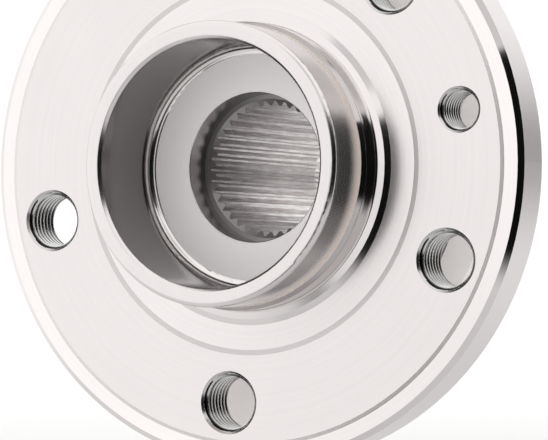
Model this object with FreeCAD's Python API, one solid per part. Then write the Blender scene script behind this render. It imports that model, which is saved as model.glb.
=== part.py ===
"""Wheel hub bearing: a flanged hub on two rows of balls in a bolt-on outer ring.

The hub axis is Y. Outboard, the wheel side, is -Y, and Z is up. The origin is the
centre of the outer ring's flange, on the face that sits against the steering knuckle.
Millimetres and degrees.
"""
import FreeCAD
import Part
import os
from math import cos, hypot, pi, radians, sin, sqrt, tan

Vector = FreeCAD.Vector
AXIS = Vector(0, 1, 0)


# Drive spline and the bore that leads to it
SPLINE_TIP_R = 15.2
SPLINE_TOOTH_H = 1.0
SPLINE_PITCH = 2.59
SPLINE_LAND_SHARE = 0.24
SPLINE_GAP_SHARE = 0.2
SPLINE_BEVEL = 0.45
SPLINE_BEVEL_ANGLE = 30.0
BOLT_SEAT_CLEARANCE = 1.55
BOLT_SEAT_DEPTH = 7.5
INBOARD_BORE_CLEARANCE = 1.1
INBOARD_BORE_LENGTH = 6.0
BORE_EDGE_BEVEL = 0.3

# Radial stack of the bearing, from the spline outwards
HUB_WALL = 6.3
INNER_RING_WALL = 3.65
BALL_R = 6.35
OUTER_RING_WALL = 5.15
OUTBOARD_EXTRA_WALL = 3.0
CONTACT_ANGLE = 38.0
GROOVE_R_SHARE = 1.04
RACE_GAP = 0.08
HIGH_SHOULDER_SHARE = 0.61
LOW_SHOULDER_H = 0.3

# Ball rows and cages
BALL_SPACE = 1.7
ROW_GAP = 13.3
ROW_TO_SEAL = 1.45
POCKET_GAP = 0.2
CAGE_PRONG_SHARE = 0.38
CAGE_BACK = 1.85
CAGE_INSIDE_SHARE = 0.5
CAGE_OUTSIDE_SHARE = 0.27
CAGE_ROUNDING = 0.5

# Outer ring and its flange for the knuckle
KNUCKLE_FLANGE_T = 13.0
BARREL_LENGTH = 2.3
KNUCKLE_BOLT_R = 6.0
BOLT_TO_BARREL = 11.0
LUG_WALL = 5.5
FLANGE_WAIST = 9.0
LUG_TURN = -103.0
LUG_SPREAD = 42.0
BARREL_FILLET = 0.8
FLANGE_BEVEL = 0.8
RING_BEVEL = 1.0
PILOT_GROOVE_W = 2.0
PILOT_GROOVE_H = 0.5

# Wheel flange
WHEEL_PCD = 112.0
WHEEL_BOLT_R = 7.0
WHEEL_BOLT_COUNT = 5
WHEEL_BOLT_TURN = -23.6
BOLT_MOUTH_BEVEL = 0.5
DISC_SCREW_R = 5.0
DISC_SCREW_BEVEL = 0.4
WHEEL_FLANGE_T = 11.7
WHEEL_FLANGE_EDGE = 14.5
SHOULDER_RISE = 1.0
LABYRINTH_GAP = 1.0
RIM_BEVEL_W = 1.35
RIM_BEVEL_H = 0.85
REAR_BEVEL = 0.7
RIM_BAND_W = 3.25
RIM_BAND_DROP = 0.25
RIM_BAND_FALL = 0.15
RIM_STEP_W = 0.85
SHOULDER_FILLET = 5.0

# Spigot that centres the brake disc and the wheel
WHEEL_PILOT_R = 33.25
DISC_PILOT_STEP = 0.75
DISC_STEP_SLOPE = 60.0
DISC_STEP_ROUNDING = 0.4
SPIGOT_H = 20.0
WHEEL_PILOT_H = 7.0
NOSE_ROUNDING = 1.25
SPIGOT_WALL = 4.25
CUP_MOUTH_BEVEL = 0.7
CUP_FLOOR_DROP = 2.8
CUP_FILLET = 2.0
FOOT_FILLET = 0.6
FOOT_H = 0.95
FOOT_EDGE_H = 0.5
FOOT_W = 2.0
FOOT_SLOPE_W = 1.4
RELIEF_DROP = 0.15
RELIEF_W = 5.9
RELIEF_SLOPE_W = 1.2

# Pressed inner ring and the rolled lip that holds it
INNER_RING_LEAD = 5.15
INNER_RING_SETBACK = 1.0
RING_CORNER = 0.8
SEAT_CORNER = 0.6
LIP_HEIGHT = 4.8
LIP_THICKNESS = 5.0
LIP_ROUNDING = 2.0
LIP_FLARE_W = 0.6
LIP_FLARE_H = 1.6
LIP_FLARE_ROUNDING = 1.0

# Seals
SEAL_SHEET = 0.8
SEAL_BEND_R = 0.2
SEAL_DEPTH = 7.0
SEAL_SEAT_STEP = 2.0
INBOARD_SEAL_DEPTH = 6.2
INBOARD_SEAT_STEP = 1.1
SEAL_SETBACK = 0.3
SEAL_FLANGE_REACH = 0.55
LIP_GAP = 0.1
LIP_ROOT_W = 1.1
LIP_TIP_W = 0.35
BEND_LIP_TURN = 40.0
SLINGER_SHEET = 0.6
SLINGER_GAP = 0.3
ENCODER_T = 0.8
ENCODER_ROUNDING = 0.2
ENCODER_INSET = 1.2


# Radii that follow from the stack
spline_root_r = SPLINE_TIP_R + SPLINE_TOOTH_H
bolt_seat_r = spline_root_r + BOLT_SEAT_CLEARANCE
inboard_bore_r = spline_root_r + INBOARD_BORE_CLEARANCE
seat_r = spline_root_r + HUB_WALL
inner_race_r = seat_r + INNER_RING_WALL
pitch_r = inner_race_r + BALL_R
groove_r = BALL_R * GROOVE_R_SHARE
outer_race_r = pitch_r + BALL_R
inner_shoulder_r = inner_race_r + HIGH_SHOULDER_SHARE * BALL_R
outer_shoulder_r = outer_race_r - HIGH_SHOULDER_SHARE * BALL_R
inner_low_r = inner_race_r + LOW_SHOULDER_H
outer_low_r = outer_race_r - LOW_SHOULDER_H
knuckle_pilot_r = outer_race_r + OUTER_RING_WALL
barrel_r = knuckle_pilot_r + OUTBOARD_EXTRA_WALL
waist_r = barrel_r + FLANGE_WAIST
outboard_seal_r = outer_low_r + SEAL_SEAT_STEP
inboard_seal_r = outer_low_r + INBOARD_SEAT_STEP
knuckle_bolt_circle_r = barrel_r + BOLT_TO_BARREL
wheel_bolt_circle_r = WHEEL_PCD / 2
wheel_flange_r = wheel_bolt_circle_r + WHEEL_FLANGE_EDGE
disc_pilot_r = WHEEL_PILOT_R + DISC_PILOT_STEP
cup_r = WHEEL_PILOT_R - SPIGOT_WALL

# Places along the axis that follow from the stack
barrel_end_y = -KNUCKLE_FLANGE_T - BARREL_LENGTH
shoulder_y = barrel_end_y - LABYRINTH_GAP
flange_rear_y = shoulder_y - SHOULDER_RISE
wheel_face_y = flange_rear_y - WHEEL_FLANGE_T
spigot_front_y = wheel_face_y - SPIGOT_H
cup_floor_y = wheel_face_y + CUP_FLOOR_DROP
bolt_seat_y = cup_floor_y + BOLT_SEAT_DEPTH
seal_stop_y = barrel_end_y + SEAL_DEPTH
outboard_row_y = seal_stop_y + ROW_TO_SEAL + BALL_R
inboard_row_y = outboard_row_y + 2 * BALL_R + ROW_GAP
inboard_seal_stop_y = inboard_row_y + BALL_R + ROW_TO_SEAL
ring_end_y = inboard_seal_stop_y + INBOARD_SEAL_DEPTH
inner_ring_y = inboard_row_y - BALL_R - INNER_RING_LEAD
inner_ring_end_y = ring_end_y - INNER_RING_SETBACK
hub_end_y = inner_ring_end_y + LIP_HEIGHT
spline_end_y = hub_end_y - INBOARD_BORE_LENGTH

ball_count = int(2 * pi * pitch_r / (2 * BALL_R + BALL_SPACE))


def outline(corners):
    """Close an outline through (radius, y) corners; a third value rounds its corner."""
    places = [Vector(corner[0], corner[1], 0) for corner in corners]
    enters = []
    leaves = []
    bows = []
    for index, here in enumerate(places):
        rounding = corners[index][2] if len(corners[index]) > 2 else 0
        if not rounding:
            enters.append(here)
            leaves.append(here)
            bows.append(None)
            continue
        back = (places[index - 1] - here).normalize()
        ahead = (places[(index + 1) % len(places)] - here).normalize()
        half_angle = back.getAngle(ahead) / 2
        middle = (back + ahead).normalize()
        enters.append(here + back * (rounding / tan(half_angle)))
        leaves.append(here + ahead * (rounding / tan(half_angle)))
        bows.append(here + middle * (rounding / sin(half_angle) - rounding))
    edges = []
    for index, enter in enumerate(enters):
        if bows[index] is not None:
            edges.append(Part.Arc(enter, bows[index], leaves[index]).toShape())
        following = enters[(index + 1) % len(enters)]
        if leaves[index].distanceToPoint(following) > 1e-6:
            edges.append(Part.LineSegment(leaves[index], following).toShape())
    return Part.Wire(edges)


def turned(corners):
    """Turn a closed outline about the hub axis."""
    return Part.Face(outline(corners)).revolve(Vector(), AXIS, 360)


def bar(radius, y_from, y_to, angle=0.0, offset=0.0):
    """Make a round bar along Y, off the axis at an angle from +X towards +Z."""
    start = Vector(offset * cos(radians(angle)), y_from, offset * sin(radians(angle)))
    return Part.makeCylinder(radius, y_to - y_from, start, AXIS)


def cone(radius_from, radius_to, y_from, y_to, angle=0.0, offset=0.0):
    """Make a cone along Y, off the axis at an angle from +X towards +Z."""
    start = Vector(offset * cos(radians(angle)), y_from, offset * sin(radians(angle)))
    return Part.makeCone(radius_from, radius_to, y_to - y_from, start, AXIS)


def bolt_hole(radius, bevel, y_from, y_to, angle, offset):
    """Make the cutter for a through hole that is bevelled at both mouths."""
    front = cone(radius + bevel, radius, y_from, y_from + bevel, angle, offset)
    rear = cone(radius, radius + bevel, y_to - bevel, y_to, angle, offset)
    return bar(radius, y_from, y_to, angle, offset).fuse([front, rear])


def row_side(row_y):
    """Give +1 where the row's contact on the outer ring lies inboard, or -1."""
    return 1 if row_y == outboard_row_y else -1


def race_groove(row_y, on_outer_ring):
    """Make the ring that grinds one raceway, offset from the balls along their contact."""
    shift = groove_r - BALL_R - RACE_GAP
    if on_outer_ring:
        shift = -shift
    centre_y = row_y + row_side(row_y) * shift * sin(radians(CONTACT_ANGLE))
    centre_r = pitch_r + shift * cos(radians(CONTACT_ANGLE))
    return Part.makeTorus(centre_r, groove_r, Vector(0, centre_y, 0), AXIS)


def spline_gaps():
    """Make the cutter for the drive spline: a prism with one lobe for each tooth gap."""
    teeth = round(2 * pi * (SPLINE_TIP_R + SPLINE_TOOTH_H / 2) / SPLINE_PITCH)
    step = 2 * pi / teeth
    half_land = step * SPLINE_LAND_SHARE / 2
    half_gap = step * SPLINE_GAP_SHARE / 2
    places = []
    for tooth in range(teeth):
        middle = pi / 2 + tooth * step
        for radius, angle in (
            (SPLINE_TIP_R, middle - half_land),
            (SPLINE_TIP_R, middle + half_land),
            (spline_root_r, middle + step / 2 - half_gap),
            (spline_root_r, middle + step / 2 + half_gap),
        ):
            places.append(Vector(radius * cos(angle), bolt_seat_y, radius * sin(angle)))
    face = Part.Face(Part.makePolygon(places + places[:1]))
    return face.extrude(Vector(0, spline_end_y - bolt_seat_y, 0))


def spigot_corners():
    """List the corners from the spline, over the cup and the spigot, to its foot."""
    step_y = wheel_face_y - WHEEL_PILOT_H
    step_end_y = step_y + DISC_PILOT_STEP * tan(radians(DISC_STEP_SLOPE))
    foot_y = wheel_face_y - FOOT_H
    foot_r = disc_pilot_r + FOOT_W
    return [
        (SPLINE_TIP_R, bolt_seat_y),
        (bolt_seat_r, bolt_seat_y),
        (bolt_seat_r, cup_floor_y + BORE_EDGE_BEVEL),
        (bolt_seat_r + BORE_EDGE_BEVEL, cup_floor_y),
        (cup_r, cup_floor_y, CUP_FILLET),
        (cup_r, spigot_front_y + CUP_MOUTH_BEVEL),
        (cup_r + CUP_MOUTH_BEVEL, spigot_front_y),
        (WHEEL_PILOT_R, spigot_front_y, NOSE_ROUNDING),
        (WHEEL_PILOT_R, step_y),
        (disc_pilot_r, step_end_y, DISC_STEP_ROUNDING),
        (disc_pilot_r, foot_y, FOOT_FILLET),
        (foot_r, wheel_face_y - FOOT_EDGE_H),
        (foot_r + FOOT_SLOPE_W, wheel_face_y + RELIEF_DROP),
    ]


def wheel_flange_corners():
    """List the corners from the relief round the spigot, over the rim, to the seal land."""
    relief_y = wheel_face_y + RELIEF_DROP
    relief_r = disc_pilot_r + FOOT_W + FOOT_SLOPE_W + RELIEF_W
    band_y = wheel_face_y + RIM_BAND_DROP
    band_end_y = band_y + RIM_BAND_FALL
    band_r = wheel_flange_r - RIM_BEVEL_W - RIM_BAND_W
    shoulder_r = barrel_r + SHOULDER_RISE
    return [
        (relief_r, relief_y),
        (relief_r + RELIEF_SLOPE_W, wheel_face_y),
        (band_r - RIM_STEP_W, wheel_face_y),
        (band_r, band_y),
        (wheel_flange_r - RIM_BEVEL_W, band_end_y),
        (wheel_flange_r, band_end_y + RIM_BEVEL_H),
        (wheel_flange_r, flange_rear_y - REAR_BEVEL),
        (wheel_flange_r - REAR_BEVEL, flange_rear_y),
        (shoulder_r + SHOULDER_RISE, flange_rear_y),
        (shoulder_r, shoulder_y),
        (inner_shoulder_r, shoulder_y, SHOULDER_FILLET),
    ]


def spindle_corners():
    """List the corners from the outboard raceway, over the rolled lip, to the bore."""
    lip_r = seat_r + LIP_THICKNESS
    return [
        (inner_shoulder_r, outboard_row_y),
        (inner_low_r, outboard_row_y),
        (inner_low_r, inner_ring_y),
        (seat_r, inner_ring_y),
        (seat_r, inner_ring_end_y),
        (lip_r, inner_ring_end_y),
        (lip_r + LIP_FLARE_W, inner_ring_end_y + LIP_FLARE_H, LIP_FLARE_ROUNDING),
        (seat_r + LIP_THICKNESS / 2, hub_end_y, LIP_ROUNDING),
        (inboard_bore_r + RING_CORNER, hub_end_y),
        (inboard_bore_r, hub_end_y - RING_CORNER),
        (inboard_bore_r, spline_end_y),
        (SPLINE_TIP_R, spline_end_y),
    ]


def hub_flange():
    """The forged hub: spigot, wheel flange, outboard raceway, ring seat and rolled lip."""
    hub = turned(spigot_corners() + wheel_flange_corners() + spindle_corners())
    cutters = [race_groove(outboard_row_y, False), spline_gaps()]
    bevel_r = spline_root_r + SPLINE_BEVEL
    bevel_h = (bevel_r - SPLINE_TIP_R) * tan(radians(SPLINE_BEVEL_ANGLE))
    cutters.append(cone(bevel_r, SPLINE_TIP_R, bolt_seat_y, bolt_seat_y + bevel_h))
    cutters.append(cone(SPLINE_TIP_R, bevel_r, spline_end_y - bevel_h, spline_end_y))
    hole_step = 360 / WHEEL_BOLT_COUNT
    for index in range(WHEEL_BOLT_COUNT):
        angle = WHEEL_BOLT_TURN + index * hole_step
        cutters.append(bolt_hole(
            WHEEL_BOLT_R, BOLT_MOUTH_BEVEL, wheel_face_y, flange_rear_y, angle, wheel_bolt_circle_r))
    screw_turn = WHEEL_BOLT_TURN + hole_step / 2
    cutters.append(bolt_hole(
        DISC_SCREW_R, DISC_SCREW_BEVEL, wheel_face_y, flange_rear_y, screw_turn, wheel_bolt_circle_r))
    return hub.cut(cutters)


def inner_ring():
    """The small ring that carries the inboard raceway, pressed on the hub's seat."""
    ring = turned([
        (seat_r + SEAT_CORNER, inner_ring_y),
        (inner_low_r, inner_ring_y),
        (inner_low_r, inboard_row_y),
        (inner_shoulder_r, inboard_row_y),
        (inner_shoulder_r, inner_ring_end_y, RING_CORNER),
        (seat_r, inner_ring_end_y),
        (seat_r, inner_ring_y + SEAT_CORNER),
    ])
    return ring.cut(race_groove(inboard_row_y, False))


def knuckle_bolt_turns():
    """Give the angles of the knuckle bolts: one pair, and the same pair turned half round."""
    return [LUG_TURN + half + LUG_SPREAD / 2 * side for half in (0, 180) for side in (-1, 1)]


def lug_plate():
    """The knuckle flange: a plate drawn tight round the ring and the four bolt lugs."""
    rounds = []
    for index, turn in enumerate(knuckle_bolt_turns()):
        lug = Vector(cos(radians(turn)), 0, sin(radians(turn))) * knuckle_bolt_circle_r
        rounds.append((lug, KNUCKLE_BOLT_R + LUG_WALL))
        if index % 2:
            rounds.append((Vector(), waist_r))
    # Each side of the plate is the line that touches two rounds that follow each other
    leaves = []
    enters = []
    normals = []
    for index, (here, here_r) in enumerate(rounds):
        there, there_r = rounds[(index + 1) % len(rounds)]
        distance = here.distanceToPoint(there)
        ahead = (there - here) * (1 / distance)
        outward = Vector(ahead.z, 0, -ahead.x)
        lean = (here_r - there_r) / distance
        normal = ahead * lean + outward * sqrt(1 - lean ** 2)
        leaves.append(here + normal * here_r)
        enters.append(there + normal * there_r)
        normals.append(normal)
    edges = []
    for index, (here, here_r) in enumerate(rounds):
        middle = (normals[index - 1] + normals[index]).normalize()
        edges.append(Part.Arc(enters[index - 1], here + middle * here_r, leaves[index]).toShape())
        edges.append(Part.LineSegment(leaves[index], enters[index]).toShape())
    plate = Part.Face(Part.Wire(edges)).extrude(Vector(0, -KNUCKLE_FLANGE_T, 0))
    rims = [edge for face in plate.Faces if abs(face.normalAt(0, 0).y) > 0.9 for edge in face.Edges]
    plate = plate.makeChamfer(FLANGE_BEVEL, rims)
    return plate.cut(bar(waist_r - FLANGE_BEVEL, -KNUCKLE_FLANGE_T, 0))


def outer_ring():
    """The fixed ring: two raceways, seal seats, knuckle flange and knuckle pilot."""
    collar_r = waist_r - FLANGE_BEVEL
    groove_outer_r = knuckle_pilot_r + PILOT_GROOVE_W
    ring = turned([
        (outer_shoulder_r, outboard_row_y),
        (outer_low_r, outboard_row_y),
        (outer_low_r, seal_stop_y),
        (outboard_seal_r, seal_stop_y),
        (outboard_seal_r, barrel_end_y + SEAL_SETBACK),
        (outboard_seal_r + SEAL_SETBACK, barrel_end_y),
        (barrel_r - RING_BEVEL, barrel_end_y),
        (barrel_r, barrel_end_y + RING_BEVEL),
        (barrel_r, -KNUCKLE_FLANGE_T, BARREL_FILLET),
        (collar_r, -KNUCKLE_FLANGE_T),
        (collar_r, 0),
        (groove_outer_r + PILOT_GROOVE_H, 0),
        (groove_outer_r, -PILOT_GROOVE_H),
        (knuckle_pilot_r, -PILOT_GROOVE_H),
        (knuckle_pilot_r, ring_end_y - RING_BEVEL),
        (knuckle_pilot_r - RING_BEVEL, ring_end_y),
        (inboard_seal_r + SEAL_SETBACK, ring_end_y),
        (inboard_seal_r, ring_end_y - SEAL_SETBACK),
        (inboard_seal_r, inboard_seal_stop_y),
        (outer_low_r, inboard_seal_stop_y),
        (outer_low_r, inboard_row_y),
        (outer_shoulder_r, inboard_row_y),
    ])
    ring = ring.fuse(lug_plate()).removeSplitter()
    cutters = [race_groove(outboard_row_y, True), race_groove(inboard_row_y, True)]
    for angle in knuckle_bolt_turns():
        cutters.append(bolt_hole(
            KNUCKLE_BOLT_R, BOLT_MOUTH_BEVEL, -KNUCKLE_FLANGE_T, 0, angle, knuckle_bolt_circle_r))
    return ring.cut(cutters)


def ball_turns():
    """Give the angle of each ball of a row, from +X towards +Z."""
    step = 2 * pi / ball_count
    return [(index + 0.5) * step for index in range(ball_count)]


def ball(turn, row_y, radius=BALL_R):
    """One ball at its place in a row, poles inwards and outwards, seam on the cage's open side."""
    out = Vector(cos(turn), 0, sin(turn))
    to_seam = AXIS * -row_side(row_y)
    sphere = Part.makeSphere(radius)
    sphere.Placement = FreeCAD.Placement(
        out * pitch_r + AXIS * row_y, FreeCAD.Rotation(to_seam, out.cross(to_seam), out, "ZXY"))
    return sphere


def cage(row_y):
    """The snap-in cage of one row: a closed back and a round pocket for each ball."""
    side = row_side(row_y)
    pocket_r = BALL_R + POCKET_GAP
    inside_r = pitch_r - CAGE_INSIDE_SHARE * BALL_R
    outside_r = pitch_r + CAGE_OUTSIDE_SHARE * BALL_R
    prong_y = row_y - side * CAGE_PRONG_SHARE * BALL_R
    back_y = row_y + side * (pocket_r + CAGE_BACK)
    blank = turned([
        (inside_r, prong_y),
        (outside_r, prong_y),
        (outside_r, back_y, CAGE_ROUNDING),
        (inside_r, back_y, CAGE_ROUNDING),
    ])
    return blank.cut([ball(turn, row_y, pocket_r) for turn in ball_turns()])


def lip(root, tip):
    """Turn one tapered rubber lip from its root to its tip, both given as (radius, y)."""
    length = hypot(tip[0] - root[0], tip[1] - root[1])
    side_r = (tip[1] - root[1]) / length
    side_y = (root[0] - tip[0]) / length
    return turned([
        (root[0] + side_r * LIP_ROOT_W / 2, root[1] + side_y * LIP_ROOT_W / 2),
        (tip[0] + side_r * LIP_TIP_W / 2, tip[1] + side_y * LIP_TIP_W / 2),
        (tip[0] - side_r * LIP_TIP_W / 2, tip[1] - side_y * LIP_TIP_W / 2),
        (root[0] - side_r * LIP_ROOT_W / 2, root[1] - side_y * LIP_ROOT_W / 2),
    ])


def seal_inner_edge(seat_radius, land_r):
    """Give the radius where the case's flange ends, between its seat and the seal land."""
    return seat_radius - SEAL_FLANGE_REACH * (seat_radius - land_r)


def seal_case(seat_radius, land_r, stop_y, mouth_y):
    """Press one steel seal case: a sleeve in the ring's seat and a flange at its stop."""
    side = 1 if mouth_y > stop_y else -1
    sheet_y = stop_y + side * SEAL_SHEET
    edge_r = seal_inner_edge(seat_radius, land_r)
    return turned([
        (seat_radius, mouth_y - side * SEAL_SETBACK),
        (seat_radius, stop_y, SEAL_SHEET + SEAL_BEND_R),
        (edge_r, stop_y),
        (edge_r, sheet_y),
        (seat_radius - SEAL_SHEET, sheet_y, SEAL_BEND_R),
        (seat_radius - SEAL_SHEET, mouth_y - side * SEAL_SETBACK),
    ])


def outboard_seal_lips():
    """The moulded lips that run on the hub's land, its fillet and its shoulder."""
    edge_r = seal_inner_edge(outboard_seal_r, inner_shoulder_r)
    sheet_y = seal_stop_y - SEAL_SHEET
    heel_y = sheet_y - LIP_ROOT_W
    heel_r = edge_r - LIP_ROOT_W
    body = turned([
        (edge_r, seal_stop_y),
        (heel_r, seal_stop_y),
        (heel_r, heel_y),
        (edge_r + LIP_ROOT_W, heel_y),
        (edge_r + LIP_ROOT_W, sheet_y),
        (edge_r, sheet_y),
    ])
    root_y = (sheet_y + heel_y) / 2
    land_tip = (inner_shoulder_r + LIP_GAP + LIP_TIP_W / 2, root_y - LIP_ROOT_W / 2)
    bend = SHOULDER_FILLET - LIP_GAP - LIP_TIP_W
    bend_tip = (
        inner_shoulder_r + SHOULDER_FILLET - bend * cos(radians(BEND_LIP_TURN)),
        shoulder_y + SHOULDER_FILLET - bend * sin(radians(BEND_LIP_TURN)),
    )
    face_tip_y = shoulder_y + LIP_GAP + LIP_TIP_W / 2
    face_tip_r = max(edge_r + 2 * LIP_ROOT_W, inner_shoulder_r + SHOULDER_FILLET + LIP_TIP_W)
    lips = [
        lip((heel_r + LIP_ROOT_W / 2, root_y), land_tip),
        lip((heel_r + LIP_ROOT_W / 2, heel_y + LIP_ROOT_W / 4), bend_tip),
        lip((edge_r + LIP_ROOT_W / 2, heel_y + LIP_ROOT_W / 4), (face_tip_r, face_tip_y)),
    ]
    return body.fuse(lips).removeSplitter()


def inboard_seal_lips():
    """The moulded lips that run on the slinger's sleeve and flange."""
    sleeve_r = inner_shoulder_r + SLINGER_SHEET
    edge_r = seal_inner_edge(inboard_seal_r, sleeve_r)
    sheet_y = inboard_seal_stop_y + SEAL_SHEET
    heel_y = sheet_y + LIP_ROOT_W
    heel_r = edge_r - LIP_ROOT_W
    body = turned([
        (edge_r, inboard_seal_stop_y),
        (heel_r, inboard_seal_stop_y),
        (heel_r, heel_y),
        (edge_r + LIP_ROOT_W, heel_y),
        (edge_r + LIP_ROOT_W, sheet_y),
        (edge_r, sheet_y),
    ])
    root = (heel_r + LIP_ROOT_W / 2, (inboard_seal_stop_y + heel_y) / 2)
    tip_r = sleeve_r + LIP_GAP + LIP_TIP_W / 2
    flange_tip_y = inner_ring_end_y - SLINGER_SHEET - LIP_GAP - LIP_TIP_W / 2
    lips = [
        lip(root, (tip_r, root[1] + LIP_ROOT_W / 2)),
        lip((edge_r, heel_y - LIP_ROOT_W / 4), (edge_r + LIP_ROOT_W, flange_tip_y)),
    ]
    return body.fuse(lips).removeSplitter()


def inboard_slinger():
    """The steel slinger pressed on the inner ring, with its flange facing inboard."""
    sleeve_r = inner_shoulder_r + SLINGER_SHEET
    flange_r = inboard_seal_r - SEAL_SHEET - SLINGER_GAP
    start_y = inboard_seal_stop_y + SEAL_SHEET
    inner_face_y = inner_ring_end_y - SLINGER_SHEET
    return turned([
        (inner_shoulder_r, start_y),
        (inner_shoulder_r, inner_ring_end_y, SLINGER_SHEET + SEAL_BEND_R),
        (flange_r, inner_ring_end_y),
        (flange_r, inner_face_y),
        (sleeve_r, inner_face_y, SEAL_BEND_R),
        (sleeve_r, start_y),
    ])


def encoder_ring():
    """The magnetised rubber ring that the wheel-speed sensor reads, bonded to the slinger."""
    flange_r = inboard_seal_r - SEAL_SHEET - SLINGER_GAP
    inner_r = inner_shoulder_r + SLINGER_SHEET + ENCODER_INSET
    return turned([
        (inner_r, inner_ring_end_y),
        (flange_r, inner_ring_end_y),
        (flange_r, inner_ring_end_y + ENCODER_T, ENCODER_ROUNDING),
        (inner_r, inner_ring_end_y + ENCODER_T, ENCODER_ROUNDING),
    ])


def build():
    """Make every piece, by the name of its node."""
    sleeve_r = inner_shoulder_r + SLINGER_SHEET
    pieces = {
        "hub_flange": hub_flange(),
        "inner_ring": inner_ring(),
        "outer_ring": outer_ring(),
        "outboard_cage": cage(outboard_row_y),
        "inboard_cage": cage(inboard_row_y),
        "outboard_seal_case": seal_case(outboard_seal_r, inner_shoulder_r, seal_stop_y, barrel_end_y),
        "outboard_seal_lips": outboard_seal_lips(),
        "inboard_seal_case": seal_case(inboard_seal_r, sleeve_r, inboard_seal_stop_y, ring_end_y),
        "inboard_seal_lips": inboard_seal_lips(),
        "inboard_slinger": inboard_slinger(),
        "encoder_ring": encoder_ring(),
    }
    for row, row_y in (("outboard", outboard_row_y), ("inboard", inboard_row_y)):
        for number, turn in enumerate(ball_turns(), start=1):
            pieces[f"{row}_ball_{number:02d}"] = ball(turn, row_y)
    return pieces


os.makedirs("parts", exist_ok=True)
for name, shape in build().items():
    shape.exportStep(f"parts/{name}.step")
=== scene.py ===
"""Finishes, threads and studio for the wheel hub bearing, laid out as an add-on."""

import math

import bmesh
import bpy
from bpy.props import FloatProperty, FloatVectorProperty, IntProperty, PointerProperty
from mathutils import Matrix, Vector


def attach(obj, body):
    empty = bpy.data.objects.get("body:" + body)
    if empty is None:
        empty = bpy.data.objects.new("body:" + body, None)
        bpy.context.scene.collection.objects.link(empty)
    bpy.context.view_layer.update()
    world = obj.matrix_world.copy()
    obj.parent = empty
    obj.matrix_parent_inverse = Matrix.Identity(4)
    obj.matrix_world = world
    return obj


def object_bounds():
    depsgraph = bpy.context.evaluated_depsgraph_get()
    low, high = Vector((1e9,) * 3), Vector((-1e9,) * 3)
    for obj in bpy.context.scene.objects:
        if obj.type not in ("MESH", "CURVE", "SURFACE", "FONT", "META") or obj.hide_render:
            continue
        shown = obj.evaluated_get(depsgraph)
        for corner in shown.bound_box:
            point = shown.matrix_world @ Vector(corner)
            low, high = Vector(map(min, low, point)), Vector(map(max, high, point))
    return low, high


bl_info = {
    "name": "Wheel hub bearing",
    "version": (1, 0, 0),
    "blender": (4, 5, 0),
    "location": "3D View > Sidebar > Hub bearing",
    "description": "Gives the hub bearing its steel finishes, cuts its threads and lights it",
    "category": "Object",
}

MM = 0.001
# Faces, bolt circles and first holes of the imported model, in millimetres and degrees
WHEEL_FACE = -29.0
KNUCKLE_PLATE_FRONT = -13.0
WHEEL_BOLT_CIRCLE_R = 56.0
FIRST_WHEEL_BOLT = -23.6
WHEEL_BOLT_STEP = 72.0
DISC_SCREW = FIRST_WHEEL_BOLT + WHEEL_BOLT_STEP / 2.0
KNUCKLE_BOLT_CIRCLE_R = 58.0
FIRST_KNUCKLE_BOLT = -124.0
KNUCKLE_BOLT_STEP = 42.0
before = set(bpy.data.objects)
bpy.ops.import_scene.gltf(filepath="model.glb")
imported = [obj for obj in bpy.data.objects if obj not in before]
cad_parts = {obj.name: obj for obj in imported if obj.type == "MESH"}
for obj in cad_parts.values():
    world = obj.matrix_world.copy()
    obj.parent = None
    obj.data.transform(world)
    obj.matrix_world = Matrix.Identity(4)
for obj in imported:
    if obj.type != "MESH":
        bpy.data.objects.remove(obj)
cad_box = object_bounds()


# Arithmetic on sockets, for shader and geometry trees


class Wire:
    """A socket that takes part in sums; each sum adds a Math node to its tree."""

    def __init__(self, board, socket):
        self.board = board
        self.socket = socket

    def output(self, name):
        """Another output of the node that this wire comes from."""
        return Wire(self.board, self.socket.node.outputs[name])

    def __add__(self, other):
        return self.board.maths("ADD", self, other)

    def __radd__(self, other):
        return self.board.maths("ADD", other, self)

    def __sub__(self, other):
        return self.board.maths("SUBTRACT", self, other)

    def __rsub__(self, other):
        return self.board.maths("SUBTRACT", other, self)

    def __mul__(self, other):
        return self.board.maths("MULTIPLY", self, other)

    def __rmul__(self, other):
        return self.board.maths("MULTIPLY", other, self)

    def __truediv__(self, other):
        return self.board.maths("DIVIDE", self, other)

    def __rtruediv__(self, other):
        return self.board.maths("DIVIDE", other, self)

    def __neg__(self):
        return self.board.maths("MULTIPLY", self, -1.0)

    def __abs__(self):
        return self.board.maths("ABSOLUTE", self)


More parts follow.
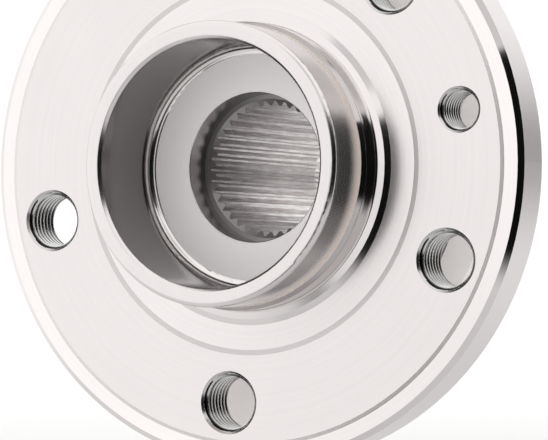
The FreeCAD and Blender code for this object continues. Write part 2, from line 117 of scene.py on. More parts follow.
class Board:
    """A node tree with short ways to add and join its nodes."""

    def __init__(self, tree):
        self.tree = tree

    def node(self, kind, settings=None, sockets=None, output=0):
        """Add a node, set what it has to be told first, then give its sockets values or wires."""
        made = self.tree.nodes.new(kind)
        for name, value in (settings or {}).items():
            if name == "stops":
                ramp = made.color_ramp
                for index, (place, colour) in enumerate(value):
                    if index >= len(ramp.elements):
                        ramp.elements.new(place)
                    ramp.elements[index].position = place
                    ramp.elements[index].color = (*colour, 1.0)
            else:
                setattr(made, name, value)
        for name, value in (sockets or {}).items():
            self.feed(made.inputs[name], value)
        return Wire(self, made.outputs[output]) if made.outputs else made

    def feed(self, socket, value):
        """Link a wire to a socket, or set the socket to a plain value."""
        if isinstance(value, Wire):
            self.tree.links.new(value.socket, socket)
        else:
            socket.default_value = value

    def maths(self, operation, *values):
        """Work out one sum."""
        return self.node("ShaderNodeMath", {"operation": operation}, dict(enumerate(values)))

    def rise(self, value, low, high):
        """Go smoothly from 0 to 1 as value goes from low to high."""
        return self.node(
            "ShaderNodeMapRange",
            {"interpolation_type": "SMOOTHSTEP"},
            {"Value": value, "From Min": low, "From Max": high},
        )

    def band(self, value, low, high, edge):
        """Be 1 between low and high, falling to 0 over an edge outside each."""
        return self.rise(value, low - edge, low) * (1.0 - self.rise(value, high, high + edge))

    def mixed(self, share, first, second):
        """Mix two colours."""
        made = self.tree.nodes.new("ShaderNodeMix")
        made.data_type = "RGBA"
        for name, value in (("Factor_Float", share), ("A_Color", first), ("B_Color", second)):
            socket = next(s for s in made.inputs if s.identifier == name)
            if name != "Factor_Float" and not isinstance(value, Wire):
                value = (*value[:3], 1.0)
            self.feed(socket, value)
        return Wire(self, next(s for s in made.outputs if s.identifier == "Result_Color"))

    def grain(self, vector, scale, detail=3.0, roughness=0.55):
        """Read a 3D noise, about 0.5 on average."""
        return self.node(
            "ShaderNodeTexNoise",
            None,
            {"Vector": vector, "Scale": scale, "Detail": detail, "Roughness": roughness},
        )

    def grain_along(self, value, scale, detail=3.0, roughness=0.55):
        """Read a noise that varies along one value only."""
        return self.node(
            "ShaderNodeTexNoise",
            {"noise_dimensions": "1D"},
            {"W": value, "Scale": scale, "Detail": detail, "Roughness": roughness},
        )


class Finish(Board):
    """A material about the hub axis: radius, and depth behind the wheel face, in millimetres."""

    def __init__(self, name):
        self.material = bpy.data.materials.new(name)
        self.material.use_nodes = True
        super().__init__(self.material.node_tree)
        self.tree.nodes.clear()
        place = self.node("ShaderNodeTexCoord", output="Object")
        parts = self.node("ShaderNodeSeparateXYZ", None, {0: place})
        self.place = place
        self.x = parts * 1000.0
        self.depth = parts.output("Y") * 1000.0 - WHEEL_FACE
        self.z = parts.output("Z") * 1000.0
        self.radius = self.maths("SQRT", self.x * self.x + self.z * self.z)
        facing = self.node("ShaderNodeNewGeometry", output="True Normal")
        self.face_on = abs(self.node("ShaderNodeSeparateXYZ", None, {0: facing}, "Y"))

    def zone(self, radii, depths, edge=0.05):
        """Be 1 in a ring-shaped zone: between two radii and between two depths."""
        return self.band(self.radius, *radii, edge) * self.band(self.depth, *depths, edge)

    def near_bolt(self, first, step, reach):
        """Be 1 within reach of the nearest hole on the bolt circle."""
        angle = self.maths("ARCTAN2", self.z, self.x) * (180.0 / math.pi) - first
        swing = (self.maths("FRACT", angle / step + 0.5) - 0.5) * math.radians(step)
        along = self.radius * self.maths("COSINE", swing) - WHEEL_BOLT_CIRCLE_R
        across = self.radius * self.maths("SINE", swing)
        return 1.0 - self.rise(along * along + across * across, reach * reach, reach * reach + 0.5)

    def lathe_marks(self, pitch, wander=0.35):
        """Tool marks: circles about the axis that follow the turned profile."""
        profile = self.radius + self.depth * 0.93
        regular = self.maths("SINE", profile * (2.0 * math.pi / pitch))
        uneven = self.grain_along(profile, 1.7 / pitch, 4.0, 0.7)
        return regular * (0.5 - wander) + uneven * (2.0 * wander)

    def bump(self, height, depth, after=None):
        """Turn a height of 0 to 1 into a bump that deep, in millimetres."""
        sockets = {"Height": height, "Distance": depth * MM, "Strength": 1.0}
        if after is not None:
            sockets["Normal"] = after
        return self.node("ShaderNodeBump", None, sockets)

    def shade(self, sockets):
        """Close the material with one Principled shader."""
        shader = self.node("ShaderNodeBsdfPrincipled", None, sockets)
        self.node("ShaderNodeOutputMaterial", None, {"Surface": shader})
        return self.material


def dress(node, material):
    """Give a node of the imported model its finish."""
    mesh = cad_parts[node].data
    mesh.materials.clear()
    mesh.materials.append(material)


def dress_all(words, material):
    """Give a finish to every node whose name holds one of the words."""
    meant = [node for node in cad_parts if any(word in node for word in words)]
    if not meant:
        raise RuntimeError(f"no node is named after {words}")
    for node in meant:
        dress(node, material)


# Sizes and colours that a user would change


class HubFinishSettings(bpy.types.PropertyGroup):
    """Colours and tool marks of the steel, rubber and plastic."""

    steel: FloatVectorProperty(
        name="Turned steel", description="Colour of the bright turned steel",
        subtype="COLOR", size=3, min=0.0, max=1.0, default=(0.754, 0.722, 0.718))
    ground_steel: FloatVectorProperty(
        name="Ground steel", description="Colour of the hardened, ground raceways and balls",
        subtype="COLOR", size=3, min=0.0, max=1.0, default=(0.72, 0.72, 0.73))
    forged_skin: FloatVectorProperty(
        name="Forged skin", description="Colour of the knuckle flange where it isn't machined",
        subtype="COLOR", size=3, min=0.0, max=1.0, default=(0.17, 0.165, 0.16))
    rubber: FloatVectorProperty(
        name="Seal rubber", description="Colour of the moulded seal lips",
        subtype="COLOR", size=3, min=0.0, max=1.0, default=(0.022, 0.022, 0.024))
    encoder: FloatVectorProperty(
        name="Encoder rubber", description="Colour of the magnetised encoder ring",
        subtype="COLOR", size=3, min=0.0, max=1.0, default=(0.045, 0.043, 0.042))
    cage: FloatVectorProperty(
        name="Cage plastic", description="Colour of the glass-filled cages",
        subtype="COLOR", size=3, min=0.0, max=1.0, default=(0.56, 0.45, 0.26))
    mark_pitch: FloatProperty(
        name="Tool mark pitch", description="Distance between two turned marks, in millimetres",
        min=0.05, max=1.0, default=0.22)
    mark_depth: FloatProperty(
        name="Tool mark depth", description="Depth of the turned marks, in millimetres",
        min=0.0, max=0.05, default=0.0012)


class HubThreadSettings(bpy.types.PropertyGroup):
    """Sizes of the threads in the bolt holes."""

    wheel_bolt: FloatProperty(
        name="Wheel bolt", description="Nominal radius of the wheel-bolt thread",
        subtype="DISTANCE", unit="LENGTH", default=7.0 * MM)
    wheel_bolt_pitch: FloatProperty(
        name="Wheel bolt pitch", description="Pitch of the wheel-bolt thread",
        subtype="DISTANCE", unit="LENGTH", default=1.5 * MM)
    disc_screw: FloatProperty(
        name="Disc screw", description="Nominal radius of the thread for the disc screw",
        subtype="DISTANCE", unit="LENGTH", default=5.0 * MM)
    disc_screw_pitch: FloatProperty(
        name="Disc screw pitch", description="Pitch of the thread for the disc screw",
        subtype="DISTANCE", unit="LENGTH", default=1.25 * MM)
    knuckle_bolt: FloatProperty(
        name="Knuckle bolt", description="Nominal radius of the knuckle-bolt thread",
        subtype="DISTANCE", unit="LENGTH", default=6.0 * MM)
    knuckle_bolt_pitch: FloatProperty(
        name="Knuckle bolt pitch", description="Pitch of the knuckle-bolt thread",
        subtype="DISTANCE", unit="LENGTH", default=1.5 * MM)
    around: IntProperty(
        name="Sides", description="Sides of one turn of a thread", min=12, max=256, default=72)


class HubStudioSettings(bpy.types.PropertyGroup):
    """Camera, floor and light."""

    lens: FloatProperty(
        name="Lens", description="Focal length on a sensor 36 mm wide",
        subtype="DISTANCE_CAMERA", default=213.93)
    camera_place: FloatVectorProperty(
        name="Camera place", description="Where the camera stands",
        subtype="TRANSLATION", unit="LENGTH", size=3, default=(0.3695, -0.7031, -0.0331))
    camera_aim: FloatVectorProperty(
        name="Camera aim", description="Direction that the camera looks in",
        subtype="DIRECTION", size=3, default=(-0.4737, 0.8803, 0.0267))
    light: FloatProperty(
        name="Light", description="Brightness of the white surroundings", min=0.0, default=1.2)
    backdrop: FloatProperty(
        name="Backdrop", description="Brightness of the white that the camera sees behind the hub",
        min=0.0, default=1.05)
    dark_panel: FloatProperty(
        name="Dark panel", description="Brightness of the dark panel beside the camera",
        min=0.0, max=1.0, default=0.005)
    floor_size: FloatProperty(
        name="Floor", description="Radius of the floor",
        subtype="DISTANCE", unit="LENGTH", default=6.0)


# Finishes


CUP_FLOOR = ((17.9, 27.0), (2.3, 3.3))
# Painted glow of the cup floor, standing in for light bounced inside the cup
CUP_PAINTED_GLOW = (0.12, 0.119, 0.119)
# Painted glow of the outer ring's front face, standing in for light bounced in the gap between the
# flanges
GAP_PAINTED_GLOW = (0.36, 0.342, 0.336)
BLACK = (0.0, 0.0, 0.0)

# Each row has a zone's radii and depths, then its roughness, tool marks, tone and bare-metal share
TURNED_FACE = (0.23, 1.0, 1.0, 1.0)
HUB_ZONES = (
    (*CUP_FLOOR, 0.5, 1.0, 1.3, 0.1),
    ((27.1, 29.1), (0.8, 2.9), 0.16, 0.3, 1.0, 1.0),  # step at the cup's root
    # The cup wall's tone is lowered as painted shade in the hollow of the cup
    ((28.5, 29.3), (-19.2, 0.7), 0.12, 0.3, 0.28, 1.0),  # wall of the cup
    ((17.5, 18.0), (3.1, 10.2), 0.26, 0.8, 0.42, 1.0),  # wall round the bolt seat
    # The bolt seat is rougher and partly dull, and its tone is lowered as painted shade
    ((16.7, 17.8), (10.2, 10.35), 0.34, 0.8, 0.5, 0.6),  # bolt seat
    ((29.0, 33.3), (-20.1, -18.7), 0.2, 0.05, 0.98, 1.0),  # nose of the spigot
    ((33.0, 33.4), (-18.7, -7.1), 0.09, 0.04, 0.98, 0.93),  # wheel pilot
    ((33.1, 34.1), (-7.0, -5.6), 0.08, 0.04, 0.7, 1.0),  # step between the pilots
    ((33.1, 34.1), (-5.5, -1.5), 0.06, 0.04, 0.95, 1.0),  # disc pilot
    ((34.0, 37.4), (-1.4, 0.1), 0.12, 0.1, 1.0, 1.0),  # fillet at the spigot's foot
    ((37.4, 43.2), (0.1, 0.2), 0.2, 0.1, 1.02, 1.0),  # relief round the spigot
    # The relief's edge is rougher, and its tone is lowered as a painted reflection: a thin grey
    # line round the spigot
    ((43.3, 44.5), (-0.1, 0.4), 0.34, 0.1, 0.88, 0.6),  # edge of the relief
    ((65.1, 65.8), (-0.1, 0.3), 0.26, 0.05, 0.98, 0.6),  # edge of the face
    ((66.0, 69.1), (0.1, 0.45), 0.16, 0.15, 1.12, 1.0),  # band at the rim
    ((69.2, 70.52), (0.45, 1.3), 0.07, 0.05, 1.0, 1.0),  # bevel of the rim
    ((70.3, 70.6), (1.4, 10.9), 0.32, 1.0, 1.0, 1.0),  # rim
    ((40.0, 70.2), (11.4, 12.8), 0.34, 1.5, 0.85, 1.0),  # rear of the flange
)


def hub_zone_values(steel):
    """Work out roughness, tool marks, tone and bare-metal share over the whole hub."""
    values = TURNED_FACE
    for radii, depths, *wanted in HUB_ZONES:
        here = steel.zone(radii, depths)
        values = [value + here * (aim - plain)
                  for value, aim, plain in zip(values, wanted, TURNED_FACE)]
    return values


def bolt_mouths(steel):
    """Be 1 in the countersinks of the wheel-bolt holes and of the disc-screw hole."""
    wheel_bolts = steel.near_bolt(FIRST_WHEEL_BOLT, WHEEL_BOLT_STEP, 7.7)
    disc_screw = steel.near_bolt(DISC_SCREW, 360.0, 5.6)
    in_flange = steel.band(steel.depth, 0.04, 11.66, 0.03)
    return in_flange * steel.maths("MAXIMUM", wheel_bolts, disc_screw)


def spline_zones(steel):
    """Find the spline, the bevel in front of it, and the streaks that the broach leaves."""
    cone = steel.radius + steel.depth * math.tan(math.radians(60.0))
    past_bevel = steel.rise(cone, 34.54, 34.64)
    spline = steel.zone((15.0, 16.4), (10.3, 68.0)) * past_bevel
    bevel = steel.zone((15.0, 16.8), (10.25, 11.3)) * (1.0 - past_bevel)
    along = steel.node(
        "ShaderNodeMapping", {"vector_type": "POINT"},
        {"Vector": steel.place, "Scale": (1.0, 0.06, 1.0)})
    return spline, bevel, steel.grain(along, 2800.0, 3.0, 0.6)


def hub_surface(steel, chosen, marks, streaks):
    """Lay tool marks, broach streaks and the relief's dish on the hub's own shape."""
    # The rounding of the nose takes one smooth highlight
    nose = steel.zone((28.4, 33.6), (-20.3, -18.4), 0.2)
    rounded = steel.node("ShaderNodeBevel", {"samples": 8}, {"Radius": nose * (0.45 * MM)})
    turned = steel.bump(steel.lathe_marks(chosen.mark_pitch) * marks, chosen.mark_depth, rounded)
    broached = steel.bump(streaks, 0.003, turned)
    # The relief round the spigot is very slightly dished
    dish = steel.node("ShaderNodeMapRange", None, {
        "Value": steel.radius, "From Min": 37.4, "From Max": 44.5, "To Min": 1.0, "To Max": 0.0})
    return steel.bump(dish, 0.45, broached)


class HUB_OT_finish_hub(bpy.types.Operator):
    """Finish the hub flange: bright turned steel, with its own polish in each zone"""

    bl_idname = "hub.finish_hub"
    bl_label = "Finish hub flange"

    def execute(self, context):
        chosen = context.scene.hub_finish
        steel = Finish("turned_steel")
        roughness, marks, tone, metal = hub_zone_values(steel)

        # The wheel pilot is duller and warmer near its step, where the tool turned out
        duller = steel.zone((33.0, 33.4), (-15.0, -7.0)) * steel.rise(steel.depth, -13.2, -7.6)
        metal = metal - duller * 0.9
        roughness = roughness + duller * 0.2
        # The countersinks of the bolt holes are darkened a little as painted shade
        tone = tone * (1.0 - bolt_mouths(steel) * 0.15)

        # Handling and the sweep of the tool leave faint clouds and rings
        cloud = steel.grain(steel.place, 34.0, 5.0, 0.6)
        fine = steel.grain(steel.place, 2200.0, 2.0, 0.5)
        sweep = steel.grain_along(steel.radius + steel.depth, 0.9, 5.0, 0.75)
        roughness = roughness * (0.93 + cloud * 0.08 + fine * 0.06)
        tone = tone * (0.972 + steel.rise(cloud * 0.5 + sweep * 0.5, 0.3, 0.75) * 0.045)

        # The spline is streaked, and brighter towards its far end; its bevel is dull, and its tone
        # is halved as painted shade
        spline, bevel, streaks = spline_zones(steel)
        tone = tone * (1.0 - bevel * 0.5)
        metal = metal - bevel * 0.4
        deeper = steel.node("ShaderNodeMapRange", None, {
            "Value": steel.depth, "From Min": 11.0, "From Max": 48.0,
            "To Min": 0.28, "To Max": 0.78})
        sheen = deeper + steel.rise(streaks, 0.35, 0.7) * 0.28 - 1.0
        tone = tone * (1.0 + spline * sheen)

        warm = [part * 2.0 * hue for part, hue in zip(chosen.steel, (1.25, 1.15, 1.06))]
        full = steel.mixed(duller, [part * 2.0 for part in chosen.steel], warm)
        dress("hub_flange", steel.shade({
            "Base Color": steel.mixed(tone * 0.5, BLACK, full),
            "Metallic": metal,
            "Roughness": roughness,
            # The cup floor glows with painted light, standing in for light that goes back and
            # forth between the floor and the wall of the cup
            "Emission Color": steel.mixed(steel.zone(*CUP_FLOOR), BLACK, CUP_PAINTED_GLOW),
            "Emission Strength": 1.0,
            "Normal": hub_surface(steel, chosen, marks, streaks * spline),
        }))
        return {"FINISHED"}


class HUB_OT_finish_rings(bpy.types.Operator):
    """Finish the inner ring, the outer ring and the balls: ground steel and forged skin"""

    bl_idname = "hub.finish_rings"
    bl_label = "Finish rings and balls"

    def execute(self, context):
        chosen = context.scene.hub_finish
        ground = Finish("ground_steel")
        cloud = ground.grain(ground.place, 60.0, 4.0, 0.6)
        marks = ground.lathe_marks(0.12, 0.45)
        dress("inner_ring", ground.shade({
            "Base Color": ground.mixed(cloud, [part * 0.92 for part in chosen.ground_steel],
                                       chosen.ground_steel),
            "Metallic": 1.0,
            "Roughness": 0.14 + cloud * 0.12,
            "Normal": ground.bump(marks, 0.0008),
        }))

        outer = Finish("outer_ring_steel")
        # The flange's rim and outboard side keep their forged skin; faces and seats are turned
        beyond_barrel = outer.rise(outer.radius, 55.1, 55.6)
        in_plate = outer.band(outer.depth, 16.1, 28.6, 0.2)
        skin = beyond_barrel * in_plate * (1.0 - outer.rise(outer.face_on, 0.4, 0.6))
        cloud = outer.grain(outer.place, 55.0, 5.0, 0.6)
        scale = outer.grain(outer.place, 420.0, 6.0, 0.65)
        bright = outer.mixed(cloud, [part * 0.93 for part in chosen.steel], chosen.steel)
        dark = outer.mixed(
            outer.rise(scale, 0.35, 0.7), chosen.forged_skin,
            [part * 1.9 for part in chosen.forged_skin])
        front = outer.rise(outer.face_on, 0.6, 0.7) * outer.zone((47.9, 75.0), (15.5, 16.9))
        blasted = outer.mixed(scale, (0.84, 0.83, 0.82), (0.93, 0.92, 0.91))
        turned = outer.bump(outer.lathe_marks(0.2) * (1.0 - skin), 0.003)
        dress("outer_ring", outer.shade({
            "Base Color": outer.mixed(front, outer.mixed(skin, bright, dark), blasted),
            "Metallic": 1.0 - skin * 0.35 - front * 0.7,
            "Roughness": 0.26 + cloud * 0.1 + skin * (0.22 + scale * 0.15) + front * 0.25,
            # The outer ring's front face glows with painted light, standing in for light that goes
            # back and forth in the narrow gap between the two flanges
            "Emission Color": outer.mixed(front, BLACK, GAP_PAINTED_GLOW),
            "Emission Strength": 1.0,
            "Normal": outer.bump(scale * skin, 0.12, turned),
        }))

        balls = Finish("ball_steel")
        film = balls.grain(balls.place, 150.0, 4.0, 0.6)
        polished = balls.shade({
            "Base Color": balls.mixed(film, [part * 0.95 for part in chosen.ground_steel],
                                      [min(1.0, part * 1.1) for part in chosen.ground_steel]),
            "Metallic": 1.0,
            "Roughness": 0.05 + film * 0.07,
            "Normal": balls.bump(balls.grain(balls.place, 1500.0), 0.0006),
        })
        dress_all(("_ball_",), polished)
        return {"FINISHED"}


class HUB_OT_finish_cages(bpy.types.Operator):
    """Finish both cages: glass-filled plastic with a faint film of grease"""

    bl_idname = "hub.finish_cages"
    bl_label = "Finish cages"

    def execute(self, context):
        chosen = context.scene.hub_finish
        plastic = Finish("cage_plastic")
        flow = plastic.grain(plastic.place, 130.0, 5.0, 0.6)
        fibres = plastic.grain(plastic.place, 1100.0, 3.0, 0.7)
        dress_all(("_cage",), plastic.shade({
            "Base Color": plastic.mixed(flow, [part * 0.82 for part in chosen.cage],
                                        [min(1.0, part * 1.12) for part in chosen.cage]),
            "Roughness": 0.38 + fibres * 0.22,
            "Normal": plastic.bump(fibres, 0.012),
            "Coat Weight": flow * 0.5,
            "Coat Roughness": 0.12,
        }))
        return {"FINISHED"}


class HUB_OT_finish_seals(bpy.types.Operator):
    """Finish the seals: pressed stainless cases and slinger, moulded lips and encoder ring"""

    bl_idname = "hub.finish_seals"
    bl_label = "Finish seals"

    def execute(self, context):
        chosen = context.scene.hub_finish
        sheet = Finish("pressed_stainless")
        cloud = sheet.grain(sheet.place, 80.0, 4.0, 0.6)
        drawn = sheet.grain_along(sheet.radius + sheet.depth, 6.0, 5.0, 0.7)
        stainless = sheet.shade({
            "Base Color": sheet.mixed(cloud, (0.56, 0.56, 0.55), (0.7, 0.69, 0.68)),
            "Metallic": 1.0,
            "Roughness": 0.2 + drawn * 0.16,
            "Normal": sheet.bump(drawn, 0.004),
        })
        dress_all(("_seal_case", "_slinger"), stainless)

        lips = Finish("seal_rubber")
        bloom = lips.grain(lips.place, 190.0, 5.0, 0.6)
        skin = lips.grain(lips.place, 1600.0, 3.0, 0.6)
        moulded = lips.shade({
            "Base Color": lips.mixed(bloom, chosen.rubber,
                                     [part * 2.0 for part in chosen.rubber]),
            "Roughness": 0.46 + bloom * 0.2,
            "Normal": lips.bump(skin, 0.01),
        })
        dress_all(("_seal_lips",), moulded)

        encoder = Finish("encoder_rubber")
        powder = encoder.grain(encoder.place, 2400.0, 3.0, 0.7)
        rub = encoder.grain_along(encoder.radius, 4.0, 5.0, 0.7)
        dress("encoder_ring", encoder.shade({
            "Base Color": encoder.mixed(powder, [part * 0.8 for part in chosen.encoder],
                                        [part * 1.5 for part in chosen.encoder]),
            "Roughness": 0.4 + rub * 0.18,
            "Normal": encoder.bump(powder, 0.006, encoder.bump(rub, 0.008)),
        }))
        return {"FINISHED"}


# Threads


ROWS_PER_TURN = 8
# Where the crest ends and the root begins, as shares of half a turn's swing
CREST = (0.125, 0.75)
# Depth of the thread as a share of its pitch
THREAD_DEPTH = 0.541
SLEEVE_CLEARANCE = 0.02 * MM
SLEEVE_WALL = 0.05 * MM


def thread_sleeve(board, given):
    """Wind rows of points along a helix into a closed sleeve, threaded inside."""
    radius = given.output("Radius")
    pitch = given.output("Pitch")
    length = given.output("Length")

    # Rows run along the helix; one more at each end, and the first again, close the sleeve
    turns = board.maths("CEIL", length / pitch) + 2.0
    inner_rows = turns * float(ROWS_PER_TURN) + 1.0
    grid = board.node(
        "GeometryNodeMeshGrid", None,
        {"Size X": 1.0, "Size Y": 1.0, "Vertices X": given.output("Sides") + 1.0,
         "Vertices Y": inner_rows + 3.0})
    place = board.node("ShaderNodeSeparateXYZ", None, {0: board.node("GeometryNodeInputPosition")})
    share = place + 0.5
    row = board.maths("ROUND", (place.output("Y") + 0.5) * (inner_rows + 2.0))
    step = board.maths("MINIMUM", board.maths("MAXIMUM", row - 1.0, 0.0), inner_rows - 1.0)
    along = (step / float(ROWS_PER_TURN) - 1.0 + share) * pitch
    along = board.maths("MINIMUM", board.maths("MAXIMUM", along, 0.0), length)
    outer_start = (board.maths("COMPARE", row, 0.0, 0.5)
                   + board.maths("COMPARE", row, inner_rows + 2.0, 0.5))
    outer_end = board.maths("COMPARE", row, inner_rows + 1.0, 0.5)
    outer = outer_start + outer_end
    along = along * (1.0 - outer) + outer_end * length

    # The thread's depth at each row, cut away by the countersinks at both ends
    phase = board.maths("FRACT", step / float(ROWS_PER_TURN))
    swing = abs(board.maths("FRACT", phase + (1.0 - CREST[0])) - 0.5) * 2.0
    crest = board.node(
        "ShaderNodeMapRange", None,
        {"Value": swing, "From Min": CREST[0], "From Max": CREST[1]})
    wall = radius - SLEEVE_CLEARANCE
    thread_r = wall - crest * pitch * THREAD_DEPTH
    countersink = board.maths("MAXIMUM", radius - along, radius - (length - along))
    sunk = board.maths("GREATER_THAN", countersink, thread_r)
    thread_r = board.maths("MINIMUM", wall, board.maths("MAXIMUM", thread_r, countersink))
    thread_r = thread_r * (1.0 - outer) + (radius + SLEEVE_WALL) * outer

    # How deep in the thread a point lies is stored while the grid is still flat; the finish uses
    # it to paint the roots dark, as painted shade
    grid = board.node(
        "GeometryNodeStoreNamedAttribute", {"data_type": "FLOAT", "domain": "POINT"},
        {"Geometry": grid, "Name": "root", "Value": (1.0 - crest) * (1.0 - sunk) + sunk * 0.1})
    turn = share * (2.0 * math.pi)
    wound = board.node(
        "GeometryNodeSetPosition", None,
        {"Geometry": grid,
         "Position": board.node("ShaderNodeCombineXYZ", None, {
             0: board.maths("COSINE", turn) * thread_r,
             1: given.output("Front") + along,
             2: board.maths("SINE", turn) * thread_r})})
    return board.node(
        "GeometryNodeMergeByDistance", None, {"Geometry": wound, "Distance": 0.0002 * MM})


def hole_points(board, given):
    """Set a point in each hole: the holes lie on one circle, in groups a step apart."""
    group = given.output("Group size")
    index = board.node("GeometryNodeInputIndex") + 0.0
    angle = (given.output("First angle")
             + board.maths("MODULO", index, group) * given.output("Step")
             + board.maths("FLOOR", index / group + 0.001) * given.output("Group step"))
    return board.node(
        "GeometryNodePoints", None,
        {"Count": given.output("Count"),
         "Position": board.node("ShaderNodeCombineXYZ", None, {
             0: board.maths("COSINE", angle) * given.output("Circle"),
             2: board.maths("SINE", angle) * given.output("Circle")})})


def thread_tree():
    """Build the tree that cuts one thread sleeve and sets it in every hole of a pattern."""
    tree = bpy.data.node_groups.new("thread_sleeves", "GeometryNodeTree")
    face = tree.interface
    face.new_socket("Geometry", in_out="INPUT", socket_type="NodeSocketGeometry")
    for name in ("Radius", "Pitch", "Length", "Front", "Circle", "First angle", "Step",
                 "Group step"):
        face.new_socket(name, in_out="INPUT", socket_type="NodeSocketFloat")
    for name in ("Count", "Group size", "Sides"):
        face.new_socket(name, in_out="INPUT", socket_type="NodeSocketInt")
    face.new_socket("Finish", in_out="INPUT", socket_type="NodeSocketMaterial")
    face.new_socket("Geometry", in_out="OUTPUT", socket_type="NodeSocketGeometry")

    board = Board(tree)
    given = board.node("NodeGroupInput")
    placed = board.node(
        "GeometryNodeInstanceOnPoints", None,
        {"Points": hole_points(board, given), "Instance": thread_sleeve(board, given)})
    real = board.node("GeometryNodeRealizeInstances", None, {"Geometry": placed})
    finished = board.node(
        "GeometryNodeSetMaterial", None, {"Geometry": real, "Material": given.output("Finish")})
    board.node("NodeGroupOutput", None, {"Geometry": finished})
    return tree


def plain_mesh(name, tree, inputs):
    """Run a tree on an empty mesh and keep the result as a plain mesh object."""
    carrier = bpy.data.objects.new(name, bpy.data.meshes.new(name))
    bpy.context.scene.collection.objects.link(carrier)
    modifier = carrier.modifiers.new("build", "NODES")
    modifier.node_group = tree
    sockets = {item.name: item.identifier for item in tree.interface.items_tree
               if item.in_out == "INPUT"}
    for key, value in inputs.items():
        modifier[sockets[key]] = value
    seen = carrier.evaluated_get(bpy.context.evaluated_depsgraph_get())
    mesh = bpy.data.meshes.new_from_object(seen)
    mesh.name = name
    carrier.modifiers.clear()
    carrier.data = mesh
    if not mesh.polygons:
        raise RuntimeError(f"{name} came out empty")
    work = bmesh.new()
    work.from_mesh(mesh)
    bmesh.ops.recalc_face_normals(work, faces=work.faces)
    work.to_mesh(mesh)
    work.free()
    mesh.shade_smooth()
    mesh.set_sharp_from_angle(angle=math.radians(50.0))
    return carrier


class HUB_OT_cut_threads(bpy.types.Operator):
    """Cut the threads of the wheel-bolt holes, the disc-screw hole and the knuckle-bolt holes"""

    bl_idname = "hub.cut_threads"
    bl_label = "Cut threads"

    def execute(self, context):
        chosen = context.scene.hub_threads
        cut = Finish("cut_thread")
        chatter = cut.grain(cut.place, 700.0, 4.0, 0.6)
        root = cut.node("ShaderNodeAttribute", {"attribute_name": "root"}, output="Fac")
        bright = cut.mixed(chatter, (0.74, 0.74, 0.735), (0.9, 0.9, 0.895))
        cut.shade({
            # The roots of the thread are painted near-black: painted shade in the grooves
            "Base Color": cut.mixed(cut.rise(root, -0.05, 0.55), bright, (0.02, 0.02, 0.021)),
            "Metallic": 1.0,
            "Roughness": 0.2 + chatter * 0.12,
            "Normal": cut.bump(chatter, 0.008),
        })
        tree = thread_tree()
        # Thread: radius, pitch, first face, length. Holes: circle, first angle, step, group step.
        # Numbers: holes, holes in a group
        patterns = (
            ("wheel_bolt_threads", "hub",
             (chosen.wheel_bolt, chosen.wheel_bolt_pitch, WHEEL_FACE + 0.5, 10.7),
             (WHEEL_BOLT_CIRCLE_R, FIRST_WHEEL_BOLT, WHEEL_BOLT_STEP, 0.0), (5, 5)),
            ("disc_screw_thread", "hub",
             (chosen.disc_screw, chosen.disc_screw_pitch, WHEEL_FACE + 0.4, 10.9),
             (WHEEL_BOLT_CIRCLE_R, DISC_SCREW, 0.0, 0.0), (1, 1)),
            ("knuckle_bolt_threads", "fixed_ring",
             (chosen.knuckle_bolt, chosen.knuckle_bolt_pitch, KNUCKLE_PLATE_FRONT + 0.5, 12.0),
             (KNUCKLE_BOLT_CIRCLE_R, FIRST_KNUCKLE_BOLT, KNUCKLE_BOLT_STEP, 180.0), (4, 2)),
        )
        for name, body, thread, holes, numbers in patterns:
            radius, pitch, front, length = thread
            circle, first, step, group_step = holes
            count, group = numbers
            threads = plain_mesh(name, tree, {
                "Radius": radius, "Pitch": pitch, "Length": length * MM, "Front": front * MM,
                "Circle": circle * MM, "First angle": math.radians(first),
                "Step": math.radians(step), "Group step": math.radians(group_step),
                "Count": count, "Group size": group, "Sides": chosen.around,
                "Finish": cut.material})
            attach(threads, body)
        return {"FINISHED"}


# Studio


# Brightness by height in degrees: table, then walls, then sky
IN_FRONT = ((-90.0, 0.6), (-50.0, 0.7), (-27.0, 0.74), (-12.0, 1.0))
BEHIND = ((-60.0, 0.45), (-32.0, 0.6), (-18.0, 0.82), (-9.0, 0.8), (-2.0, 0.45),
          (5.0, 0.26), (9.0, 0.36), (15.0, 0.72), (22.0, 1.0))


def lay_floor(scene, chosen):
    """Lay a round sheet of pale paper under the hub."""
    work = bmesh.new()
    bmesh.ops.create_circle(work, cap_ends=True, segments=96, radius=chosen.floor_size)
    bmesh.ops.translate(work, verts=work.verts, vec=(0.0, 0.0, cad_box[0][2] - 0.02 * MM))
    mesh = bpy.data.meshes.new("floor")
    work.to_mesh(mesh)
    work.free()
    floor = bpy.data.objects.new("floor", mesh)
    scene.collection.objects.link(floor)
    paper = Finish("floor_paper")
    fibre = paper.grain(paper.place, 300.0, 3.0, 0.5)
    reach = paper.maths("SQRT", paper.x * paper.x + paper.depth * paper.depth)
    mesh.materials.append(paper.shade({
        # The paper is painted darker near the hub, as a painted shadow round it
        "Base Color": paper.mixed(paper.rise(reach, 150.0, 700.0) * 0.9 + fibre * 0.1,
                                  (0.885, 0.885, 0.885), (0.96, 0.96, 0.96)),
        "Roughness": 0.85 + fibre * 0.1,
        "Specular IOR Level": 0.0,
    }))
    floor.visible_glossy = False


def by_height(board, height, stops):
    """Read a brightness from stops that go by height."""
    greys = [((place + 90.0) / 180.0, (grey,) * 3) for place, grey in stops]
    return board.node(
        "ShaderNodeValToRGB", {"stops": greys}, {"Fac": height / 180.0 + 0.5}, "Color") * 1.0


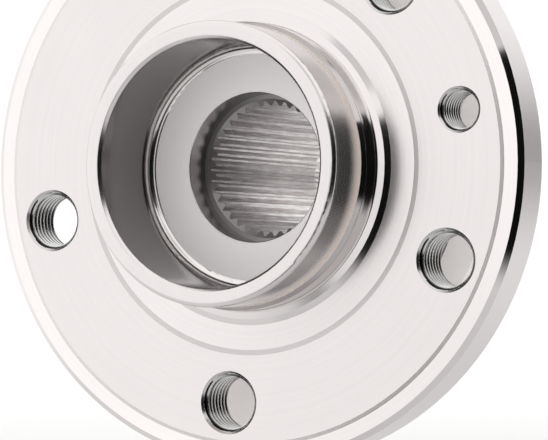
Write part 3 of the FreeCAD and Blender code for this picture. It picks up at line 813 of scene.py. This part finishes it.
def surroundings(board, dark_panel):
    """Work out what stands round the hub: bright walls and sky, a dark panel, grey fields."""
    ray = board.node("ShaderNodeTexCoord", output="Generated")
    x = board.node("ShaderNodeSeparateXYZ", None, {0: ray})
    y = x.output("Y")
    z = x.output("Z")
    # In degrees; azimuth 0 is straight in front of the hub
    azimuth = board.maths("ARCTAN2", x, -y) * (180.0 / math.pi)
    height = board.maths("ARCSINE", z) * (180.0 / math.pi)
    lifted = height - board.rise(azimuth, 21.0, 34.0) * 9.5
    panel = (board.rise(azimuth, -3.0, 12.0) * (1.0 - board.rise(azimuth, 98.0, 116.0))
             * board.rise(lifted, -35.0, -26.0) * (1.0 - board.rise(lifted, 16.3, 18.3)))
    # Grey fields beside it: below towards the left, above, and low on the left
    low = board.band(azimuth, -14.0, 2.0, 9.0) * board.band(height, -32.0, -21.0, 4.0)
    high = board.band(azimuth, 4.0, 38.0, 8.0) * board.band(height, 29.0, 48.0, 5.0)
    dusk = board.rise(azimuth, -31.0, -25.0) * (1.0 - board.rise(height, -2.5, 3.5))
    in_front = by_height(board, height, IN_FRONT)
    in_front = in_front * (1.0 - low * 0.82) * (1.0 - high * 0.35) * (1.0 - dusk * 0.13)
    in_front = in_front * (1.0 - panel * (1.0 - dark_panel))
    away = board.rise(y, 0.05, 0.6)
    return in_front * (1.0 - away) + by_height(board, height, BEHIND) * away


def surround(scene, chosen):
    """Light the hub from all round; the camera itself sees a plain white backdrop."""
    scene.world = bpy.data.worlds.new("studio")
    scene.world.use_nodes = True
    board = Board(scene.world.node_tree)
    board.tree.nodes.clear()
    bright = surroundings(board, chosen.dark_panel)
    seen = board.node("ShaderNodeLightPath", output="Is Camera Ray")
    light = board.node("ShaderNodeBackground", None, {
        "Color": (1.0, 0.995, 0.99, 1.0),
        "Strength": seen * chosen.backdrop + (1.0 - seen) * bright * chosen.light})
    board.node("ShaderNodeOutputWorld", None, {"Surface": light})


def stand_camera(scene, chosen):
    """Stand the camera where the photo was taken from."""
    camera = bpy.data.objects.new("camera", bpy.data.cameras.new("camera"))
    scene.collection.objects.link(camera)
    camera.data.sensor_fit = "HORIZONTAL"
    camera.data.sensor_width = 36.0
    camera.data.lens = chosen.lens
    camera.data.dof.use_dof = False
    ahead = Vector(chosen.camera_aim).normalized()
    right = ahead.cross(Vector((0.0, 0.0, 1.0))).normalized()
    up = right.cross(ahead)
    turn = Matrix((right, up, -ahead)).transposed().to_4x4()
    camera.matrix_world = Matrix.Translation(chosen.camera_place) @ turn
    scene.camera = camera


class HUB_OT_set_studio(bpy.types.Operator):
    """Set the floor, the white surroundings with their dark panel, and the camera"""

    bl_idname = "hub.set_studio"
    bl_label = "Set studio"

    def execute(self, context):
        chosen = context.scene.hub_studio
        lay_floor(context.scene, chosen)
        surround(context.scene, chosen)
        stand_camera(context.scene, chosen)
        context.scene.view_settings.view_transform = "Standard"
        return {"FINISHED"}


class HUB_PT_panel(bpy.types.Panel):
    """Lists the hub bearing's settings and steps in the sidebar"""

    bl_idname = "HUB_PT_panel"
    bl_label = "Hub bearing"
    bl_space_type = "VIEW_3D"
    bl_region_type = "UI"
    bl_category = "Hub bearing"

    def draw(self, context):
        for settings in (context.scene.hub_finish, context.scene.hub_threads,
                         context.scene.hub_studio):
            box = self.layout.box()
            for name in settings.__annotations__:
                box.prop(settings, name)
        for step in STEPS:
            self.layout.operator(step.bl_idname)


STEPS = (HUB_OT_finish_hub, HUB_OT_finish_rings, HUB_OT_finish_cages, HUB_OT_finish_seals,
         HUB_OT_cut_threads, HUB_OT_set_studio)
SETTINGS = (("hub_finish", HubFinishSettings), ("hub_threads", HubThreadSettings),
            ("hub_studio", HubStudioSettings))


def register():
    for name, settings in SETTINGS:
        bpy.utils.register_class(settings)
        setattr(bpy.types.Scene, name, PointerProperty(type=settings))
    for item in (*STEPS, HUB_PT_panel):
        bpy.utils.register_class(item)


def unregister():
    for item in reversed((*STEPS, HUB_PT_panel)):
        bpy.utils.unregister_class(item)
    for name, settings in reversed(SETTINGS):
        delattr(bpy.types.Scene, name)
        bpy.utils.unregister_class(settings)


def main():
    register()
    bpy.ops.hub.finish_hub()
    bpy.ops.hub.finish_rings()
    bpy.ops.hub.finish_cages()
    bpy.ops.hub.finish_seals()
    bpy.ops.hub.cut_threads()
    bpy.ops.hub.set_studio()


if __name__ == "__main__":
    main()
